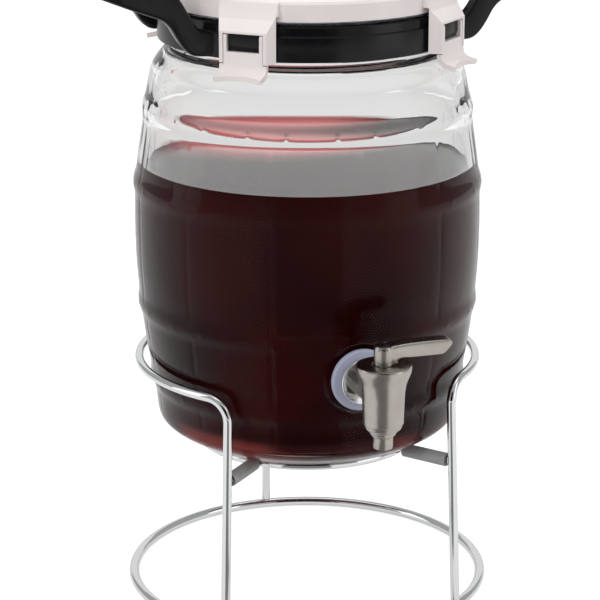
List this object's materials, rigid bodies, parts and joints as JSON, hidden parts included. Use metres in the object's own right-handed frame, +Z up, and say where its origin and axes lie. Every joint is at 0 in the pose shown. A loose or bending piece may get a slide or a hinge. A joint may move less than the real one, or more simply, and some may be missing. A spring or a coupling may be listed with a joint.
{
  "type": "drinks dispenser",
  "caption": "Barrel-shaped glass drinks jar with a lever tap, a latched lid and side ears, on a wire stand.",
  "frame": {"origin": "on the floor, under the middle of the whole part's box", "axes": "+Z up along the jar, -Y to the front where the tap is, +X to the right of the tap"},
  "size_m": [0.2934, 0.2446, 0.3661],
  "materials": {
    "chrome_wire": "bright chrome plating",
    "tap_steel": "fine brushed",
    "clear_glass": "clear moulded glass",
    "black_plastic": "satin black moulding",
    "lid_plastic": "satin off-white moulding",
    "clear_silicone": "translucent silicone",
    "grey_sleeve": "grey soft tube"
  },
  "bodies": {
    "stand": {"base_ring": "chrome_wire", "leg_hoop": "chrome_wire", "back_leg": "chrome_wire", "support_ring": "chrome_wire", "support_rod_left": "chrome_wire", "support_rod_right": "chrome_wire", "support_rod_back": "chrome_wire", "rod_sleeve_left": "grey_sleeve", "rod_sleeve_right": "grey_sleeve", "rod_sleeve_back": "grey_sleeve"},
    "jar": {"glass_jar": "clear_glass", "handle_collar": "black_plastic", "tap_body": "tap_steel", "tap_shank": "tap_steel", "tap_flange": "chrome_wire", "outer_washer": "clear_silicone", "inner_washer": "clear_silicone", "tap_nut": "tap_steel"},
    "lid": {"lid_cover": "lid_plastic", "lid_gasket": "clear_silicone"},
    "latch_front_left": {"latch_front_left": "lid_plastic"},
    "latch_front_right": {"latch_front_right": "lid_plastic"},
    "latch_back_left": {"latch_back_left": "lid_plastic"},
    "latch_back_right": {"latch_back_right": "lid_plastic"},
    "tap_lever": {"tap_lever": "tap_steel", "valve_spindle": "tap_steel", "spindle_seal": "clear_silicone"}
  },
  "joints": [
    {"name": "jar_lift", "type": "slide", "parent": "stand", "child": "jar", "axis": [0, 0, 1], "range_m": [0, 0.15]},
    {"name": "lid_lift", "type": "slide", "parent": "jar", "child": "lid", "axis": [0, 0, 1], "range_m": [0, 0.025]},
    {"name": "latch_front_left_hinge", "type": "hinge", "parent": "lid", "child": "latch_front_left", "pos_m": [-0.05613, -0.04728, 0.3291], "axis": [-0.7649, 0.6441, 0], "range_deg": [0, 95]},
    {"name": "latch_front_right_hinge", "type": "hinge", "parent": "lid", "child": "latch_front_right", "pos_m": [0.0582, -0.04549, 0.3291], "axis": [-0.7443, -0.6678, 0], "range_deg": [0, 95]},
    {"name": "latch_back_left_hinge", "type": "hinge", "parent": "lid", "child": "latch_back_left", "pos_m": [-0.0582, 0.08425, 0.3291], "axis": [0.7443, 0.6678, 0], "range_deg": [0, 95]},
    {"name": "latch_back_right_hinge", "type": "hinge", "parent": "lid", "child": "latch_back_right", "pos_m": [0.05613, 0.08604, 0.3291], "axis": [0.7649, -0.6441, 0], "range_deg": [0, 95]},
    {"name": "tap_lever_turn", "type": "hinge", "parent": "jar", "child": "tap_lever", "pos_m": [0, -0.10782, 0.1662], "axis": [0, 0, 1], "range_deg": [-90, 0]}
  ],
  "couplings": [
    {"joint": "latch_front_left_hinge", "follows": "lid_lift", "rad_per_m": 66.316},
    {"joint": "latch_front_right_hinge", "follows": "lid_lift", "rad_per_m": 66.316},
    {"joint": "latch_back_left_hinge", "follows": "lid_lift", "rad_per_m": 66.316},
    {"joint": "latch_back_right_hinge", "follows": "lid_lift", "rad_per_m": 66.316}
  ]
}
